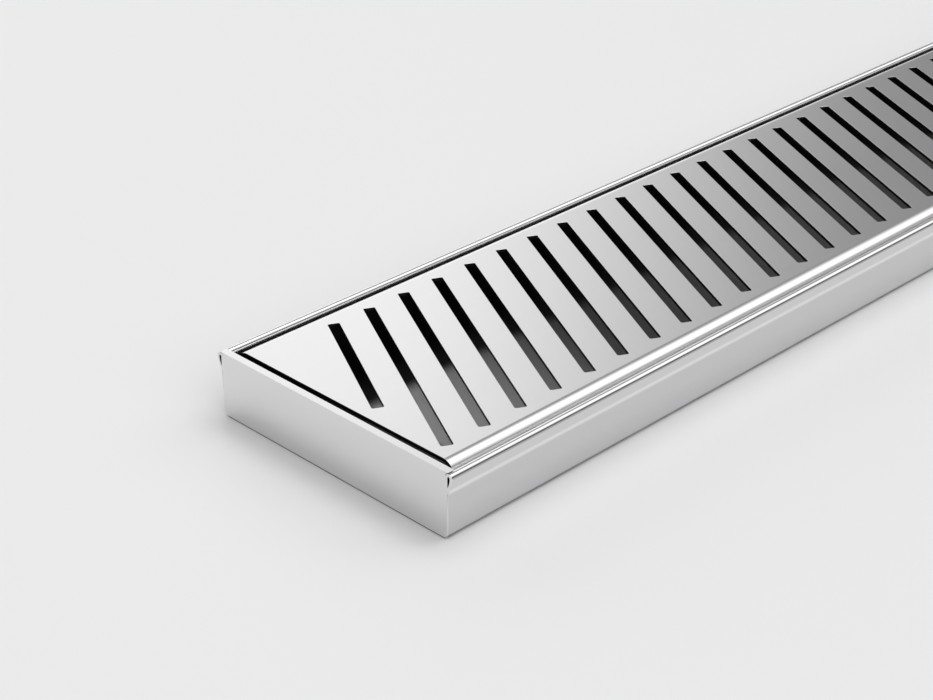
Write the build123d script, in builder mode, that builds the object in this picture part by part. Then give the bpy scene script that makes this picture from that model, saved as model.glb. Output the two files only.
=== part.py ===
from build123d import *
from math import cos, floor, radians, sqrt, tan
import os

# Linear shower drain, in millimetres.
# A channel folded from one stainless sheet, its top edges hemmed outwards into round rims,
# closed by two end plates let in between its walls. A slotted grate of C section stands on
# the channel floor with its top level with the rims, and a strainer cap covers the outlet.
# The origin is the middle of the underside. +X runs along the drain, +Y across it, +Z up.

# Channel
length = 900.0
rim_width = 100.0
height = 21.8
channel_sheet = 0.9
channel_bend = 1.4
hem_gap = 0.9
hem_height = 8.4
hem_curl_drop = 6.6
end_edge_cut = 0.3
outlet_radius = 25.5

# End plates
end_plate_thick = 2.5
end_plate_corner_inset = 0.3

# Grate
grate_sheet = 1.2
grate_bend = 2.6
grate_side_gap = 0.05
grate_end_gap = 2.1

# Slots, which lean along the drain as they cross it
slot_pitch_wanted = 14.7
slot_width = 3.75
slot_angle = 28.0
slot_corner_cut = 0.45
slot_margin = 4.1
first_slot_inset = 15.6
slot_end_land = 5.5
short_slot_setback = 1.0

# Strainer cap over the outlet
strainer_sheet = 0.8
strainer_rise = 6.0
strainer_skirt_gap = 2.5
strainer_corner = 1.3
strainer_hole_radius = 2.5
strainer_ring_pitch = 9.0
strainer_edge_land = 1.5
strainer_notches = 12
strainer_notch_width = 8.0
strainer_notch_height = 3.0

# Main lines of the channel's section, measured from the middle of the drain
rim_half = rim_width / 2
hem_radius = channel_sheet + hem_gap / 2
wall_half = rim_half - channel_sheet - hem_gap
channel_half = wall_half - channel_sheet
outer_bend = channel_bend + channel_sheet
rim_crown = wall_half + hem_gap / 2
rim_spring_z = height - hem_radius
hem_end_z = height - hem_height
hem_curl_z = hem_end_z + hem_curl_drop

# The hem's lower end runs back to the wall in a flat S: it curls in, then lies out along the wall
curl_turn = ((rim_half + wall_half) / 2, hem_curl_z - hem_curl_drop / 2)
curl_reach = rim_half - curl_turn[0]
curl_radius = ((hem_curl_drop / 2) ** 2 + curl_reach**2) / (2 * curl_reach)
curl_touch_z = hem_curl_z - sqrt(
    (curl_radius - channel_sheet) ** 2 - (curl_radius - (rim_half - wall_half)) ** 2
)

# The channel's floor, its two walls and their hems are one folded sheet
with BuildPart() as channel_tray:
    with BuildSketch(Plane.YZ):
        with BuildLine():
            under = Line((0, 0), (wall_half - outer_bend, 0))
            bend_out = TangentArc(under @ 1, (wall_half, outer_bend), tangent=(1, 0))
            wall_out = Line(bend_out @ 1, (wall_half, hem_end_z))
            blend = TangentArc(wall_out @ 1, curl_turn, tangent=(0, 1))
            TangentArc(blend @ 1, (rim_half, hem_curl_z), tangent=blend % 1)
            hem_out = Line((rim_half, hem_curl_z), (rim_half, rim_spring_z))
            rim = ThreePointArc(hem_out @ 1, (rim_crown, height), (channel_half, rim_spring_z))
            wall_in = Line(rim @ 1, (channel_half, outer_bend))
            bend_in = TangentArc(wall_in @ 1, (wall_half - outer_bend, channel_sheet), tangent=(0, -1))
            floor_in = Line(bend_in @ 1, (0, channel_sheet))
            Line(floor_in @ 1, under @ 0)
        make_face()
        with BuildLine():
            gap_out = Line((wall_half + hem_gap, rim_spring_z), (wall_half + hem_gap, hem_curl_z))
            curl_in = TangentArc(gap_out @ 1, (wall_half, curl_touch_z), tangent=(0, -1))
            gap_in = Line(curl_in @ 1, (wall_half, rim_spring_z))
            ThreePointArc(gap_in @ 1, (rim_crown, height - channel_sheet), gap_out @ 0)
        make_face(mode=Mode.SUBTRACT)
        mirror(about=Plane.YZ)
    extrude(amount=length / 2, both=True)

    # Water leaves through a plain round hole in the floor, flush with the underside
    with BuildSketch(Plane.XY):
        Circle(outlet_radius)
    extrude(amount=channel_sheet, mode=Mode.SUBTRACT)

    # The ends are dressed smooth round the outside, from one hem under the floor to the other
    skin_half = (wall_half + channel_half) / 2
    end_edges = channel_tray.edges().filter_by(Plane.YZ).filter_by(
        lambda edge: edge.center().Z < hem_end_z
        and all(v.Z < channel_sheet / 2 or abs(v.Y) > skin_half for v in edge.vertices())
    )
    chamfer(end_edges, end_edge_cut)
channel_tray.part.label = "channel_tray"

# Each end plate fills the channel's section up to the crowns of the rims, as the ground weld
# leaves it
plate_tip = rim_crown - end_plate_corner_inset
plate_tip_z = rim_spring_z + sqrt(hem_radius**2 - end_plate_corner_inset**2)

end_plates = {
    "end_plate_near": Plane.YZ.offset(-length / 2),
    "end_plate_far": Plane.YZ.offset(length / 2 - end_plate_thick),
}
pieces = [channel_tray]
for name, plate_plane in end_plates.items():
    with BuildPart() as end_plate:
        with BuildSketch(plate_plane):
            with BuildLine():
                foot = Line((0, channel_sheet), (channel_half - channel_bend, channel_sheet))
                corner = TangentArc(foot @ 1, (channel_half, outer_bend), tangent=(1, 0))
                side = Line(corner @ 1, (channel_half, rim_spring_z))
                ear = TangentArc(side @ 1, (plate_tip, plate_tip_z), tangent=(0, 1))
                tip = Line(ear @ 1, (plate_tip, height))
                top = Line(tip @ 1, (0, height))
                Line(top @ 1, foot @ 0)
            make_face()
            mirror(about=Plane.YZ)
        extrude(amount=end_plate_thick)
    end_plate.part.label = name
    pieces.append(end_plate)

# Grate: a flat top with both long edges bent down into flanges that stand on the floor, just
# inside the channel's bends
grate_half = channel_half - channel_bend - grate_side_gap
grate_outer_bend = grate_bend + grate_sheet
grate_flat_half = grate_half - grate_outer_bend
grate_half_length = length / 2 - end_plate_thick - grate_end_gap

slot_run = length - 2 * first_slot_inset
slot_gaps = round(slot_run / slot_pitch_wanted)
slot_pitch = slot_run / slot_gaps
slot_reach = grate_flat_half - slot_margin
slot_lean = tan(radians(slot_angle))


def reach_towards(end_distance):
    """How far across the drain a slot may run on the side that leans towards an end."""
    room = (end_distance - slot_end_land) / slot_lean
    return slot_reach if room >= slot_reach else room - short_slot_setback


with BuildPart() as grate:
    with BuildSketch(Plane.YZ):
        with BuildLine():
            top = Line((0, height), (grate_flat_half, height))
            shoulder = TangentArc(top @ 1, (grate_half, height - grate_outer_bend), tangent=(1, 0))
            flange_out = Line(shoulder @ 1, (grate_half, channel_sheet))
            flange_foot = Line(flange_out @ 1, (grate_half - grate_sheet, channel_sheet))
            flange_in = Line(flange_foot @ 1, (grate_half - grate_sheet, height - grate_outer_bend))
            throat = TangentArc(
                flange_in @ 1, (grate_flat_half, height - grate_sheet), tangent=(0, 1)
            )
            ceiling = Line(throat @ 1, (0, height - grate_sheet))
            Line(ceiling @ 1, top @ 0)
        make_face()
        mirror(about=Plane.YZ)
    extrude(amount=grate_half_length, both=True)
    with BuildSketch(Plane.XY.offset(height)) as slots:
        for slot in range(slot_gaps + 1):
            middle_x = slot * slot_pitch - slot_run / 2
            front_reach = reach_towards(grate_half_length + middle_x)
            back_reach = reach_towards(grate_half_length - middle_x)
            centre_y = (back_reach - front_reach) / 2
            slot_length = (back_reach + front_reach) / cos(radians(slot_angle))
            with Locations((middle_x + centre_y * slot_lean, centre_y)):
                Rectangle(slot_width, slot_length, rotation=-slot_angle)
        # The punch's small corner radius is cut as a flat, so that sixty slots have few faces
        chamfer(slots.vertices(), slot_corner_cut)
    extrude(amount=-grate_sheet, mode=Mode.SUBTRACT)
grate.part.label = "grate"

# Strainer: a pressed cap that stands over the outlet on the teeth of its skirt
skirt_inner = outlet_radius + strainer_skirt_gap
skirt_outer = skirt_inner + strainer_sheet
strainer_top_z = channel_sheet + strainer_rise
hole_field = skirt_outer - strainer_corner - strainer_edge_land - strainer_hole_radius
strainer_rings = floor(hole_field / strainer_ring_pitch)

with BuildPart() as strainer:
    with BuildSketch(Plane.XZ):
        with BuildLine():
            Polyline(
                (0, strainer_top_z),
                (skirt_outer - strainer_corner, strainer_top_z),
                (skirt_outer, strainer_top_z - strainer_corner),
                (skirt_outer, channel_sheet),
            )
            offset(amount=strainer_sheet, kind=Kind.INTERSECTION, side=Side.RIGHT)
        make_face()
    revolve(axis=Axis.Z)
    with BuildSketch(Plane.XY.offset(strainer_top_z)):
        Circle(strainer_hole_radius)
        for ring in range(1, strainer_rings + 1):
            with PolarLocations(ring * strainer_ring_pitch, 6 * ring):
                Circle(strainer_hole_radius)
    extrude(amount=-strainer_sheet, mode=Mode.SUBTRACT)

    # Water runs in under the skirt, between its teeth
    with BuildSketch(Plane.XY.offset(channel_sheet)):
        with PolarLocations((skirt_inner + skirt_outer) / 2, strainer_notches):
            Rectangle(2 * strainer_sheet, strainer_notch_width)
    extrude(amount=strainer_notch_height, mode=Mode.SUBTRACT)
strainer.part.label = "strainer"

pieces += [grate, strainer]
os.makedirs("parts", exist_ok=True)
for piece in pieces:
    export_step(piece.part, f"parts/{piece.part.label}.step")
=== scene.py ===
# %% [markdown]
# Linear shower drain: the looks
#
# The real object is a low channel folded from stainless sheet, with a slotted grate lying in it. Its
# solids were drawn in CAD and come in here as a fixed frame. This file gives them their finish: where
# the drawn shape is already right, it only gets a better metal, and where light needs a finer edge
# than the drawing has, a new piece is made that stands for the old one. Everything is in metres, with
# +X along the drain, +Y across it and +Z up.

from math import cos, degrees, hypot, radians, tan

import bmesh
import bpy
from mathutils import Matrix, Vector


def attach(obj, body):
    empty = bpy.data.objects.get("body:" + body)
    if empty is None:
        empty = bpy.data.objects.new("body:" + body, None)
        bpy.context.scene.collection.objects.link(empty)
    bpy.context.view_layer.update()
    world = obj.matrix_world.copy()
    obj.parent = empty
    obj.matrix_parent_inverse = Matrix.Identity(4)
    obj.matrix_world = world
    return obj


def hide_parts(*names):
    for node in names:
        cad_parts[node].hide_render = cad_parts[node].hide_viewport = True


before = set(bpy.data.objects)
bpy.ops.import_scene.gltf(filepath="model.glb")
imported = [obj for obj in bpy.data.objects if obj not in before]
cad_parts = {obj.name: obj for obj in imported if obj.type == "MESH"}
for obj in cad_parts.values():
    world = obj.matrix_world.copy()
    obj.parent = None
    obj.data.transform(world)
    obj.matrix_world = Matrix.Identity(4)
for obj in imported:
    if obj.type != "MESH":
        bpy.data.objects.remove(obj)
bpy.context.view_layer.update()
MM = 0.001

# %% [markdown]
# The camera. A product picture like this one is taken with a long lens from well above, so that
# lines along the drain hardly draw together. A camera could be aimed by a constraint, but here its
# place and its turn are given as plain numbers, because they were worked out once from the slots.

# %% Camera
PHOTO_WIDTH = 933
SENSOR_MM = 36.0
FOCAL_PIXELS = 2062.45
CAMERA_PLACE_MM = (-780.18, -385.97, 317.29)
CAMERA_HEADING = 45.022
CAMERA_DIP = 28.616
NEAREST_SEEN, FARTHEST_SEEN = 0.01, 50

bpy.ops.object.camera_add(
    location=[v * MM for v in CAMERA_PLACE_MM],
    rotation=(radians(90 - CAMERA_DIP), 0, radians(CAMERA_HEADING - 90)),
)
camera = bpy.context.object
camera.name = "camera"
camera.data.sensor_width = SENSOR_MM
camera.data.lens = FOCAL_PIXELS * SENSOR_MM / PHOTO_WIDTH
camera.data.clip_start = NEAREST_SEEN
camera.data.clip_end = FARTHEST_SEEN
bpy.context.scene.camera = camera
bpy.context.scene.view_settings.view_transform = "Standard"
print("lens in mm:", round(camera.data.lens, 2))

# %% [markdown]
# The studio. Bright metal has hardly any colour of its own: what we see on it is the room. So the
# room is drawn first. Lamps would do, but a long metal rim shows the outline of every lamp, and the
# picture's rims show clean bands. Instead the world itself carries a few soft panels, each given by
# where it stands round the drain (its heading) and how high (its height over the horizon).

# %% Node helpers
def feed(tree, socket, value):
    """Link a socket to another node's output, or give it a plain value."""
    if isinstance(value, bpy.types.NodeSocket):
        tree.links.new(value, socket)
    else:
        socket.default_value = value


def add_node(tree, kind, values=(), **settings):
    """A new node, with its settings and the values of its first sockets."""
    node = tree.nodes.new(kind)
    for name, setting in settings.items():
        setattr(node, name, setting)
    for socket, value in zip(node.inputs, values):
        feed(tree, socket, value)
    return node


def maths(tree, operation, *values):
    """The result of a Math node."""
    return add_node(tree, "ShaderNodeMath", values, operation=operation).outputs[0]


def soft_step(tree, value, start, end):
    """0 below start and 1 above end, with a smooth rise between, or a fall if end is lower."""
    low, high = min(start, end), max(start, end)
    edges = (0.0, 1.0) if start < end else (1.0, 0.0)
    node = add_node(
        tree, "ShaderNodeMapRange", (value, low, high, *edges), interpolation_type="SMOOTHSTEP"
    )
    return node.outputs[0]


# %% World with soft panels
world = bpy.data.worlds.new("studio")
bpy.context.scene.world = world
world.use_nodes = True
sky = world.node_tree
sky.nodes.clear()
direction = add_node(sky, "ShaderNodeTexCoord").outputs["Generated"]
parts = add_node(sky, "ShaderNodeSeparateXYZ", (direction,)).outputs
heading = maths(sky, "MULTIPLY", maths(sky, "ARCTAN2", parts["Y"], parts["X"]), degrees(1))
rise = maths(sky, "MULTIPLY", maths(sky, "ARCSINE", parts["Z"]), degrees(1))

# The strength, then where the panel starts and ends in degrees, each with its soft edge. The flag is
# a black board: it takes light away low down in front, which darkens the line under the rim
PANELS = {
    "rear": {"strength": 0.88, "heading": ((31, 49), (112, 90)), "rise": ((-5, 0), (39, 33))},
    "front": {"strength": 1.2, "heading": ((-54, -31), (30, -14)), "rise": ((12, 34), (62, 55))},
    "side": {"strength": 1.5, "heading": ((-150, -115), (-58, -74)), "rise": ((10, 26), (64, 54))},
    "overhead": {"strength": 0.7, "heading": (), "rise": ((54, 68),)},
    "key": {"strength": 2.2, "heading": ((-75, -35), (85, 45)), "rise": ((52, 60), (82, 72))},
    "flag": {"strength": -0.20, "heading": ((-72, -60), (34, 14)), "rise": ((32, 18),)},
}
ROOM_LEVEL = 0.30
light = ROOM_LEVEL
for panel in PANELS.values():
    share = panel["strength"]
    for value, edges in ((heading, panel["heading"]), (rise, panel["rise"])):
        for edge in edges:
            share = maths(sky, "MULTIPLY", share, soft_step(sky, value, *edge))
    light = maths(sky, "ADD", light, share)
shine = add_node(sky, "ShaderNodeBackground", ((1, 1, 1, 1), light))
add_node(sky, "ShaderNodeOutputWorld", (shine.outputs[0],))
print("panels:", list(PANELS))

# %% [markdown]
# The floor: one wide pale sheet, a hair under the drain, so that it catches the soft shadow. It is
# nearly dull, because a glossy floor would show the panels of the room.

# %% Floor
FLOOR_SIZE = 14.0
FLOOR_DROP_MM = 0.03
FLOOR_COLOUR = (0.85, 0.85, 0.855, 1)
FLOOR_ROUGHNESS = 0.6
FLOOR_GLOSS = 0.2
bpy.ops.object.select_all(action="DESELECT")
bpy.ops.mesh.primitive_plane_add(size=FLOOR_SIZE, location=(0, 0, -FLOOR_DROP_MM * MM))
floor = bpy.context.object
floor.name = "floor"
floor_paint = bpy.data.materials.new("floor_paint")
floor_paint.use_nodes = True
floor_shader = floor_paint.node_tree.nodes["Principled BSDF"]
floor_shader.inputs["Base Color"].default_value = FLOOR_COLOUR
floor_shader.inputs["Roughness"].default_value = FLOOR_ROUGHNESS
floor_shader.inputs["Specular IOR Level"].default_value = FLOOR_GLOSS
floor.data.materials.append(floor_paint)
print("floor in metres:", FLOOR_SIZE)

# %% [markdown]
# Stainless steel. Outside, the sheet has a satin finish: it was brushed along its length so finely that
# single lines can't be seen, and only the roughness wavers. A noise texture squeezed across the drain
# and stretched along it draws such lines, and a second, wide one adds the faint clouds of handling.
# Inside, the sheet is rougher, and its colour is painted nearly black as painted shade, so the
# channel is nearly black between the slots. One material can hold them all: a mask built from the
# place on the piece is 1 in a zone and 0 outside it, and lays that zone's painted light or shade over
# the finish below.

# %% Masks for the zones of a piece
def zone_mask(tree, place, zones):
    """1 inside any of the zones and 0 elsewhere. A zone's edges are soft steps in mm: along is the
    distance from the middle of the drain, across from its centre line, and height is from the floor."""
    parts = add_node(tree, "ShaderNodeSeparateXYZ", (place,)).outputs
    measures = {
        "along": maths(tree, "MULTIPLY", maths(tree, "ABSOLUTE", parts["X"]), 1 / MM),
        "across": maths(tree, "MULTIPLY", maths(tree, "ABSOLUTE", parts["Y"]), 1 / MM),
        "height": maths(tree, "MULTIPLY", parts["Z"], 1 / MM),
    }
    mask = 0.0
    for zone in zones:
        share = 1.0
        for measure, edges in zone.items():
            for edge in edges:
                share = maths(tree, "MULTIPLY", share, soft_step(tree, measures[measure], *edge))
        mask = maths(tree, "MAXIMUM", mask, share)
    return mask


# %% Noise, blends, skins and the seam
def noise(tree, place, scale, detail):
    """A noise texture laid out by the given place."""
    node = add_node(tree, "ShaderNodeTexNoise", (place,))
    node.inputs["Scale"].default_value = scale
    node.inputs["Detail"].default_value = detail
    return node.outputs["Fac"]


def blend(tree, factor, under, over):
    """The colour under where the factor is 0, and the colour over where it is 1."""
    node = add_node(tree, "ShaderNodeMix", data_type="RGBA")
    for name, value in (("Factor", factor), ("A", under), ("B", over)):
        feed(tree, node.inputs[name], value)
    return node.outputs["Result"]


def lay_painted_tones(tree, place, painted_tones, tint, rough, roughness):
    """Tint and roughness with the painted tones laid over them, each a zone of painted light or shade.
    Where they overlap, the last one gives the tint, and each adds its own change of roughness."""
    for zones, painted_colour, zone_roughness in painted_tones:
        mask = zone_mask(tree, place, zones)
        change = add_node(
            tree, "ShaderNodeMapRange", (mask, 0.0, 1.0, 0.0, zone_roughness - roughness)
        )
        rough = maths(tree, "ADD", rough, change.outputs[0])
        tint = blend(tree, mask, tint, (*painted_colour, 1))
    return tint, rough


def seam_relief(tree, place, zone, low, high, drop):
    """A soft step of the relief in mm, from low to high up the piece, in one zone only."""
    mask = zone_mask(tree, place, (zone,))
    parts = add_node(tree, "ShaderNodeSeparateXYZ", (place,)).outputs
    level = maths(tree, "MULTIPLY", parts["Z"], 1 / MM)
    step = add_node(
        tree, "ShaderNodeMapRange", (level, low, high, 0.0, drop), interpolation_type="SMOOTHERSTEP"
    )
    return maths(tree, "MULTIPLY", step.outputs[0], mask)


# %% Steel
BRUSHED_SCALE = (9.0, 3200.0, 3200.0)
PRESSED_SCALE = (1500.0, 1500.0, 1500.0)
CLOUD_SCALE = 22.0
NOISE_SPAN = (0.2, 0.8)
TINT_SPREAD = 0.015


def steel(name, colour, roughness, waver, relief, painted_tones=(), seam=None, scale=BRUSHED_SCALE):
    """Stainless sheet: its colour, its roughness and how far that wavers, and its relief in mm. Each
    painted tone has zones, a colour of painted light or shade, and a roughness. The seam has a zone,
    two heights and a drop in mm."""
    made = bpy.data.materials.new(name)
    made.use_nodes = True
    tree = made.node_tree
    shader = tree.nodes["Principled BSDF"]
    shader.inputs["Metallic"].default_value = 1.0
    place = add_node(tree, "ShaderNodeTexCoord").outputs["Object"]
    stretch = add_node(tree, "ShaderNodeMapping", (place,))
    stretch.inputs["Scale"].default_value = scale
    fine = noise(tree, stretch.outputs[0], 1.0, 2.0)
    cloud = noise(tree, place, CLOUD_SCALE, 3.0)

    spans = ((fine, roughness - waver, roughness + waver), (cloud, -waver / 2, waver / 2))
    rough = maths(tree, "ADD", *[
        add_node(tree, "ShaderNodeMapRange", (value, *NOISE_SPAN, low, high)).outputs[0]
        for value, low, high in spans
    ])
    tint = blend(tree, cloud, *[
        (*[min(c * share, 1) for c in colour], 1) for share in (1 - TINT_SPREAD, 1 + TINT_SPREAD)
    ])
    tint, rough = lay_painted_tones(tree, place, painted_tones, tint, rough, roughness)
    tree.links.new(rough, shader.inputs["Roughness"])
    tree.links.new(tint, shader.inputs["Base Color"])

    height = maths(tree, "MULTIPLY", fine, relief)
    if seam:
        height = maths(tree, "ADD", height, seam_relief(tree, place, *seam))
    bump = add_node(tree, "ShaderNodeBump")
    bump.inputs["Strength"].default_value = 1.0
    bump.inputs["Distance"].default_value = MM
    tree.links.new(height, bump.inputs["Height"])
    tree.links.new(bump.outputs["Normal"], shader.inputs["Normal"])
    return made


def paint(piece, material):
    """Give the piece this material alone."""
    piece.data.materials.clear()
    piece.data.materials.append(material)


# %% [markdown]
# Painted light and shade on the channel. Outside, the hem and the wall are painted a little darker as
# painted shade, and the crease under the rim darker still, a painted shadow line. A lighter band where
# the hem's end lies against the wall is a painted highlight, and a dark line at the foot is a painted
# shadow where the sheet meets the floor. Inside, the sheet is rougher and painted nearly black as
# painted shade, the floor between the flanges is painted a little lighter for the light through the
# slots, and near its ends it is painted pale, a painted pool of light, so the first slots look pale.
# They could be five materials on five sets of faces, but then each would end at an edge of the mesh.

# %% Painted light and shade of the channel
STEEL_COLOUR = (0.78, 0.78, 0.785)
OUTSIDE = {"along": ((449.75, 449.65),), "across": ((47.6, 47.7),)}
# Painted shade: the hem is painted a little darker than the steel.
HEM_SHADE_ZONE = {**OUTSIDE, "height": ((20.3, 19.8),)}
# Painted shadow: a dark line painted in the crease under the rim.
CREASE_SHADOW_ZONE = {**OUTSIDE, "across": ((49.3, 49.5),), "height": ((20.05, 20.25), (20.8, 20.6))}
# Painted shade: the wall below the hem is painted darker still, for the shaded floor it reflects.
WALL_SHADE_ZONE = {**OUTSIDE, "height": ((14.9, 13.9),)}
# Painted highlight: a lighter band low on the hem, where its end lies against the wall.
SEAM_HIGHLIGHT_ZONE = {**OUTSIDE, "height": ((14.4, 15.4), (16.9, 15.9))}
# Painted shadow: a dark line along the foot of the walls and of the ends, where the sheet meets the
# floor.
FOOT_SHADOW_ZONES = (
    {"along": ((449.6, 449.5),), "across": ((45.4, 45.6),), "height": ((1.05, 0.85),)},
    {"along": ((449.5, 449.6),), "height": ((0.42, 0.30),)},
)
# Painted shade: the inside of the channel is painted nearly black.
INSIDE_SHADE_ZONE = {
    "along": ((447.5, 447.4),),
    "across": ((47.5, 47.4),),
    "height": ((0.6, 0.7), (20.6, 18.8)),
}
# Painted light: the floor between the flanges is painted lighter, for the light that falls through the
# slots.
LIT_BAND_ZONE = {
    "along": ((418.5, 415.5),),
    "across": ((23.5, 15.5),),
    "height": ((0.6, 0.7), (1.2, 1.0)),
}
# Painted light: near its ends the floor is painted pale, a painted pool of light seen through the first
# slots.
LIT_END_ZONE = {**LIT_BAND_ZONE, "along": ((326.0, 414.0), (418.5, 415.5))}
# Every colour in this table is painted light or shade, laid over the steel zone by zone.
CHANNEL_PAINTED_LIGHT = (
    ((HEM_SHADE_ZONE,), (0.71, 0.71, 0.715), 0.13),
    ((CREASE_SHADOW_ZONE,), (0.47, 0.47, 0.475), 0.16),
    ((WALL_SHADE_ZONE,), (0.635, 0.635, 0.64), 0.13),
    ((SEAM_HIGHLIGHT_ZONE,), (0.86, 0.86, 0.865), 0.16),
    (FOOT_SHADOW_ZONES, (0.12, 0.12, 0.12), 0.30),
    ((INSIDE_SHADE_ZONE,), (0.10, 0.10, 0.10), 0.36),
    ((LIT_BAND_ZONE,), (0.24, 0.24, 0.24), 0.36),
    ((LIT_END_ZONE,), (0.97, 0.97, 0.97), 0.36),
)
SEAM_STEP = ({"along": ((449.9, 449.88),), "across": ((48.1, 48.15),)}, 13.4, 20.0, -2.4)
sheet_steel = steel("sheet_steel", STEEL_COLOUR, 0.13, 0.02, 0.0002, CHANNEL_PAINTED_LIGHT, SEAM_STEP)
print("skins of the channel:", len(CHANNEL_PAINTED_LIGHT))

# %% Painted shade of the grate and the end plates, and the strainer's steel
# Painted shade: a near black, for faces of the grate and end plates that lie in shade.
SHADE_COLOUR = (0.04, 0.04, 0.04)
# Painted shade: the grate's underside is painted dark grey, and the inside of its flanges, the walls of
# its slots and its cut ends near black.
UNDER_SHADE_ZONE = {"across": ((44.0, 43.9),), "height": ((20.72, 20.66),)}
FLANGE_SHADE_ZONE = {"across": ((44.95, 44.85),), "height": ((19.9, 19.85),)}
SLOT_WALL_SHADE_ZONE = {"across": ((41.3, 41.1),), "height": ((21.77, 21.73),)}
CUT_END_SHADE_ZONE = {"along": ((445.33, 445.37),)}
GRATE_PAINTED_SHADE = (
    ((UNDER_SHADE_ZONE,), (0.12, 0.12, 0.122), 0.45),
    ((FLANGE_SHADE_ZONE, SLOT_WALL_SHADE_ZONE, CUT_END_SHADE_ZONE), SHADE_COLOUR, 0.50),
)
# Painted shade: the end plate's inner face below its top is painted near black, so the gap at each end
# looks black.
PLATE_SHADE_ZONE = {"along": ((447.6, 447.5),), "height": ((21.70, 21.60),)}
PLATE_PAINTED_SHADE = (((PLATE_SHADE_ZONE,), SHADE_COLOUR, 0.45),)
CAP_COLOUR = (0.45, 0.45, 0.455)
grate_steel = steel("grate_steel", STEEL_COLOUR, 0.20, 0.02, 0.0003, GRATE_PAINTED_SHADE)
plate_steel = steel("plate_steel", STEEL_COLOUR, 0.20, 0.02, 0.0002, PLATE_PAINTED_SHADE)
cap_steel = steel("cap_steel", CAP_COLOUR, 0.42, 0.05, 0.0005, scale=PRESSED_SCALE)

for node, material in {
    "channel_tray": sheet_steel,
    "end_plate_near": plate_steel,
    "end_plate_far": plate_steel,
    "grate": grate_steel,
    "strainer": cap_steel,
}.items():
    paint(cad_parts[node], material)
print("steels:", [m.name for m in (sheet_steel, grate_steel, plate_steel, cap_steel)])

# %% [markdown]
# Working by hand. Blender's edit mode is what a modeller uses with the mouse: pick edges or faces,
# then extrude, resize or bevel them. A script can do the same, if it picks by place and direction
# instead of by eye. Both sheets here start as a flat plane and are thickened once they are folded.

# %% Helpers for picking and finishing
def start(primitive, name, **settings):
    """Add a primitive with nothing else selected, name it and go into edit mode."""
    bpy.ops.object.select_all(action="DESELECT")
    getattr(bpy.ops.mesh, f"primitive_{primitive}_add")(**settings)
    piece = bpy.context.object
    piece.name = name
    bpy.ops.object.mode_set(mode="EDIT")
    bpy.ops.mesh.select_all(action="DESELECT")
    return piece


def pick(piece, kind, test):
    """Select only the edges or faces whose middle in mm and direction pass the test."""
    mesh = bmesh.from_edit_mesh(piece.data)
    for group in (mesh.verts, mesh.edges, mesh.faces):
        for item in group:
            item.select = False
    bpy.context.tool_settings.mesh_select_mode = (False, kind == "edges", kind == "faces")
    chosen = []
    for item in getattr(mesh, kind):
        if kind == "edges":
            ends = [v.co for v in item.verts]
            middle, way = (ends[0] + ends[1]) / 2, (ends[1] - ends[0]).normalized()
        else:
            middle, way = item.calc_center_median(), item.normal
        if test(middle / MM, way):
            chosen.append(item)
    for item in chosen:
        item.select_set(True)
    mesh.select_flush_mode()
    bmesh.update_edit_mesh(piece.data)
    return len(chosen)


def finish_shape(piece, **modifiers):
    """Leave edit mode, put the place into the mesh, then add and apply the modifiers in order."""
    if bpy.context.object and bpy.context.object.mode == "EDIT":
        bpy.ops.object.mode_set(mode="OBJECT")
    bpy.ops.object.select_all(action="DESELECT")
    piece.select_set(True)
    bpy.context.view_layer.objects.active = piece
    bpy.ops.object.transform_apply(location=True, rotation=True, scale=True)
    for kind, settings in modifiers.items():
        modifier = piece.modifiers.new(kind.lower(), kind)
        for name, value in settings.items():
            setattr(modifier, name, value)
        bpy.ops.object.modifier_apply(modifier=modifier.name)


# %% Helpers for folded sheets
NEAR_MM = 0.01


def start_sheet(name, length, half, level):
    """A flat sheet in edit mode, with its length, half its width and its height in mm."""
    piece = start("plane", name, size=1, location=(0, 0, level * MM))
    pick(piece, "faces", lambda middle, way: True)
    bpy.ops.transform.resize(value=(length * MM, 2 * half * MM, 1))
    bpy.ops.object.mode_set(mode="OBJECT")
    bpy.ops.object.transform_apply(location=True, rotation=True, scale=True)
    bpy.ops.object.mode_set(mode="EDIT")
    return piece


def pick_fold(piece, half, level):
    """Select the two edges that run along the sheet at this distance and height in mm."""
    return pick(
        piece,
        "edges",
        lambda middle, way: abs(abs(middle.y) - half) < NEAR_MM
        and abs(middle.z - level) < NEAR_MM
        and abs(way.x) > 0.9,
    )


def bevel(reach, segments):
    """Round the edges that are picked, as far as the reach in mm."""
    bpy.ops.mesh.bevel(
        offset=reach * MM, offset_type="OFFSET", segments=segments, profile=0.5, affect="EDGES"
    )


def thicken(piece, sheet):
    """Weld the folded skin, turn its widest face up and put the sheet, in mm, behind it."""
    bpy.ops.mesh.select_all(action="SELECT")
    bpy.ops.mesh.remove_doubles(threshold=NEAR_MM * MM)
    bpy.ops.mesh.normals_make_consistent(inside=False)
    finish_shape(piece)
    if max(piece.data.polygons, key=lambda face: face.area).normal.z < 0:
        piece.data.flip_normals()
    finish_shape(
        piece, SOLIDIFY={"thickness": sheet * MM, "offset": -1.0, "use_even_offset": True}
    )


def smooth(piece, angle):
    """Shade smoothly where faces meet at less than the angle, and keep the large faces flat."""
    bpy.ops.object.shade_smooth_by_angle(angle=radians(angle))
    finish_shape(piece, WEIGHTED_NORMAL={"keep_sharp": True, "weight": 100})


# %% [markdown]
# The channel. On the real drain it is one sheet too: the floor, two walls, and along the top of each
# wall a hem, where the sheet turns over to a round rim and runs down outside to lie against the wall
# again. The solid from CAD has all that, but its ends are eased on the inside as well, which leaves a
# hair of a groove beside each end plate. The welded drain has none there. So the sheet is folded again:
# its inner skin is pulled up from a plane, corner by corner, the corners are rounded with bevels, and
# Solidify puts the sheet behind it. Only the outside of the ends is eased.

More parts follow.
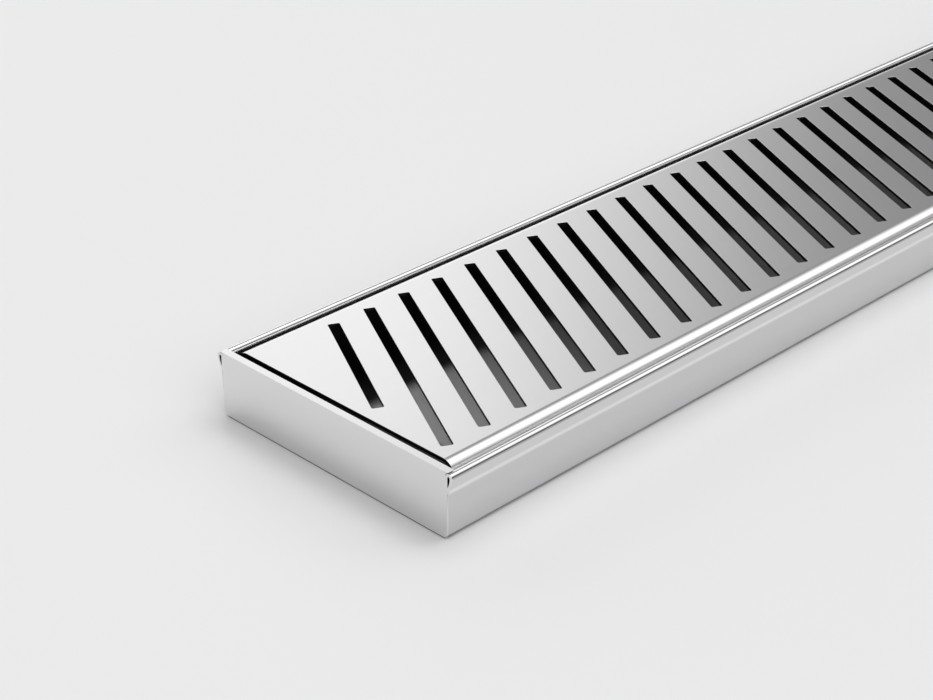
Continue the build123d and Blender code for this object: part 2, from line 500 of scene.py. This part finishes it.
# %% Fold the channel
DRAIN_LENGTH_MM = 900.0
CHANNEL_SHEET_MM = 0.9
CHANNEL_HALF_MM = 47.3
CHANNEL_BEND_MM = 1.4
RIM_HALF_MM = 50.0
RIM_TOP_MM = 21.55
RIM_RADIUS_MM = 1.35
CHANNEL_CORNERS_MM = (
    (CHANNEL_HALF_MM, CHANNEL_SHEET_MM),
    (CHANNEL_HALF_MM, RIM_TOP_MM),
    (RIM_HALF_MM, RIM_TOP_MM),
    (RIM_HALF_MM, 18.24),
    (48.19, 15.16),
    (48.19, 13.3),
)
RIM_REACH_MM = RIM_RADIUS_MM - 0.002
ROUNDINGS = ((CHANNEL_BEND_MM, 8), (RIM_REACH_MM, 10), (RIM_REACH_MM, 10), (1.76, 8), (1.75, 8))

channel_piece = start_sheet("channel_sheet", DRAIN_LENGTH_MM, CHANNEL_HALF_MM, CHANNEL_SHEET_MM)
for (half, level), (next_half, next_level) in zip(CHANNEL_CORNERS_MM, CHANNEL_CORNERS_MM[1:]):
    pick_fold(channel_piece, half, level)
    bpy.ops.mesh.extrude_region_move(
        TRANSFORM_OT_translate={"value": (0, 0, (next_level - level) * MM)}
    )
    bpy.ops.transform.resize(value=(1, next_half / half, 1), center_override=(0, 0, 0))
for (half, level), (reach, segments) in zip(CHANNEL_CORNERS_MM, ROUNDINGS):
    pick_fold(channel_piece, half, level)
    bevel(reach, segments)
thicken(channel_piece, CHANNEL_SHEET_MM)
print("channel faces:", len(channel_piece.data.polygons))

# %% Cut the outlet
OUTLET_RADIUS_MM = 25.5
OUTLET_SIDES = 96
PUNCH_DEPTH_MM = 6.0
outlet_punch = start(
    "cylinder",
    "outlet_punch",
    vertices=OUTLET_SIDES,
    radius=OUTLET_RADIUS_MM * MM,
    depth=PUNCH_DEPTH_MM * MM,
)
finish_shape(outlet_punch)
finish_shape(
    channel_piece,
    BOOLEAN={
        "operation": "DIFFERENCE",
        "object": outlet_punch,
        "solver": "EXACT",
        "use_self": True,
    },
)
bpy.data.objects.remove(outlet_punch, do_unlink=True)
print("channel faces with the outlet:", len(channel_piece.data.polygons))

# %% Find the outside of the ends
EASED_UP_TO_MM = 13.5
HEM_EASED_FROM_MM = 14.8
HEM_CURL_TOP_MM = 20.0
HEM_CURL_DROP_MM = 6.6
EAR_TIP_MM = 48.4
RIM_SKIN_MM = 1.1
outer_bend = CHANNEL_BEND_MM + CHANNEL_SHEET_MM
wall_half = CHANNEL_HALF_MM + CHANNEL_SHEET_MM


def at_the_end(middle, way):
    """Whether an edge lies in one of the two end faces."""
    return abs(middle.x) > DRAIN_LENGTH_MM / 2 - NEAR_MM and abs(way.x) < 0.1


def outside(middle):
    """Whether a point of the end's outline is on the outside of the floor, a bend or a wall."""
    across, up = abs(middle.y) - (wall_half - outer_bend), outer_bend - middle.z
    if across > 0 and up > 0:
        return hypot(across, up) > outer_bend - CHANNEL_SHEET_MM / 4
    on_the_wall = abs(abs(middle.y) - wall_half) < NEAR_MM / 2
    return middle.z < 0.05 or (on_the_wall and 1 < middle.z < EASED_UP_TO_MM)


def on_the_hem(middle, way):
    """Whether a piece of the end's outline is on the outside of the rim or of the hem below it."""
    across, up = abs(middle.y), middle.z - (RIM_TOP_MM - RIM_RADIUS_MM)
    if up > 0:
        from_rim_middle = hypot(across - CHANNEL_HALF_MM - RIM_RADIUS_MM, up)
        return across > EAR_TIP_MM and from_rim_middle > RIM_SKIN_MM
    fallen = max(HEM_CURL_TOP_MM - middle.z, 0) / HEM_CURL_DROP_MM
    skin_half = RIM_HALF_MM - fallen * (RIM_HALF_MM - wall_half) - CHANNEL_SHEET_MM / 2
    return middle.z > HEM_EASED_FROM_MM and abs(way.z) > 0.8 and across > skin_half


# %% Ease the outside of the ends
END_EASE_MM = 0.3
RIM_EASE_MM = 0.12
bpy.ops.object.mode_set(mode="EDIT")
bpy.ops.mesh.select_all(action="SELECT")
bpy.ops.mesh.bisect(plane_co=(0, 0, EASED_UP_TO_MM * MM), plane_no=(0, 0, 1))
eased = pick(channel_piece, "edges", lambda middle, way: at_the_end(middle, way) and outside(middle))
bevel(END_EASE_MM, 3)
eased += pick(
    channel_piece, "edges", lambda middle, way: at_the_end(middle, way) and on_the_hem(middle, way)
)
bevel(RIM_EASE_MM, 2)
finish_shape(channel_piece)
smooth(channel_piece, 40)
paint(channel_piece, sheet_steel)
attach(channel_piece, "root")
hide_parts("channel_tray")
print("eased edges:", eased, "channel faces:", len(channel_piece.data.polygons))

# %% [markdown]
# The grate. On the real drain it is one sheet: slots are punched in it, then both long edges are bent
# down into flanges. The CAD solid has every slot, but each punched corner is a flat and each edge is
# perfectly sharp, and a sharp edge never catches light. So the sheet is made again the way the maker
# makes it, with the same numbers: a plane is extruded down at both sides, the folds are rounded with a
# bevel and Solidify gives the sheet its thickness. One punch is modelled, rounded and copied for every
# whole slot, and a Boolean modifier cuts them all at once. A last fine bevel breaks the edges.

# %% Fold the grate
GRATE_TOP_MM = 21.8
GRATE_SHEET_MM = 1.2
GRATE_BEND_MM = 3.8
GRATE_HALF_MM = 45.85
GRATE_HALF_LENGTH_MM = 445.4

grate_piece = start_sheet("grate_sheet", 2 * GRATE_HALF_LENGTH_MM, GRATE_HALF_MM, GRATE_TOP_MM)
pick_fold(grate_piece, GRATE_HALF_MM, GRATE_TOP_MM)
bpy.ops.mesh.extrude_region_move(
    TRANSFORM_OT_translate={"value": (0, 0, (CHANNEL_SHEET_MM - GRATE_TOP_MM) * MM)}
)
folds = pick_fold(grate_piece, GRATE_HALF_MM, GRATE_TOP_MM)
bevel(GRATE_BEND_MM, 12)
thicken(grate_piece, GRATE_SHEET_MM)
print("folds:", folds, "faces:", len(grate_piece.data.polygons))

# %% Slot sizes
FIRST_SLOT_MM = 15.6
SLOT_COUNT = 60
SLOT_WIDTH_MM = 3.75
SLOT_ANGLE = 28.0
SLOT_REACH_MM = 37.95
SLOT_END_LAND_MM = 5.5
SHORT_SLOT_SETBACK_MM = 1.0
PUNCH_CORNER_MM = 0.6
slot_pitch = (DRAIN_LENGTH_MM - 2 * FIRST_SLOT_MM) / (SLOT_COUNT - 1)
slot_lean = tan(radians(SLOT_ANGLE))
print("slot pitch in mm:", round(slot_pitch, 4))


# %% A punch for a slot
def reach_towards(end_distance):
    """How far across the grate a slot may run on the side that leans towards an end."""
    room = (end_distance - SLOT_END_LAND_MM) / slot_lean
    return SLOT_REACH_MM if room >= SLOT_REACH_MM else room - SHORT_SLOT_SETBACK_MM


def slide(piece, x, y, z):
    """Move the piece's mesh by so many mm."""
    piece.data.transform(Matrix.Translation(Vector((x, y, z)) * MM))


def punch(name, middle_x, front_reach, back_reach):
    """A punch for one slot: a block with rounded upright corners, turned to the slot's lean."""
    centre_y = (back_reach - front_reach) / 2
    slot_length = (back_reach + front_reach) / cos(radians(SLOT_ANGLE))
    tool = start("cube", name, size=1)
    pick(tool, "faces", lambda middle, way: True)
    bpy.ops.transform.resize(value=(SLOT_WIDTH_MM * MM, slot_length * MM, PUNCH_DEPTH_MM * MM))
    pick(tool, "edges", lambda middle, way: abs(way.z) > 0.9)
    bevel(PUNCH_CORNER_MM, 3)
    bpy.ops.object.mode_set(mode="OBJECT")
    tool.data.transform(Matrix.Rotation(radians(-SLOT_ANGLE), 4, "Z"))
    slide(tool, middle_x + centre_y * slot_lean, centre_y, GRATE_TOP_MM)
    return tool


# %% Punch the slots
punches, whole_punch, whole_x = [], None, 0.0
for slot in range(SLOT_COUNT):
    middle_x = slot * slot_pitch - (DRAIN_LENGTH_MM / 2 - FIRST_SLOT_MM)
    front = reach_towards(GRATE_HALF_LENGTH_MM + middle_x)
    back = reach_towards(GRATE_HALF_LENGTH_MM - middle_x)
    is_whole = front == back == SLOT_REACH_MM
    if is_whole and whole_punch:
        tool = whole_punch.copy()
        tool.data = whole_punch.data.copy()
        slide(tool, middle_x - whole_x, 0, 0)
        bpy.context.collection.objects.link(tool)
    else:
        tool = punch(f"punch_{slot}", middle_x, front, back)
        if is_whole:
            whole_punch, whole_x = tool, middle_x
    punches.append(tool)
bpy.ops.object.select_all(action="DESELECT")
for tool in punches:
    tool.select_set(True)
bpy.context.view_layer.objects.active = punches[0]
bpy.ops.object.join()
punch_set = punches[0]
finish_shape(
    grate_piece, BOOLEAN={"operation": "DIFFERENCE", "object": punch_set, "solver": "EXACT"}
)
bpy.data.objects.remove(punch_set, do_unlink=True)
print("slots:", SLOT_COUNT, "faces:", len(grate_piece.data.polygons))

# %% Break the edges
EDGE_BREAK_MM = 0.10
finish_shape(
    grate_piece,
    BEVEL={
        "width": EDGE_BREAK_MM * MM,
        "segments": 2,
        "limit_method": "ANGLE",
        "angle_limit": radians(40),
    },
)
smooth(grate_piece, 50)
paint(grate_piece, grate_steel)
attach(grate_piece, "root")
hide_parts("grate")
print("grate faces:", len(grate_piece.data.polygons))
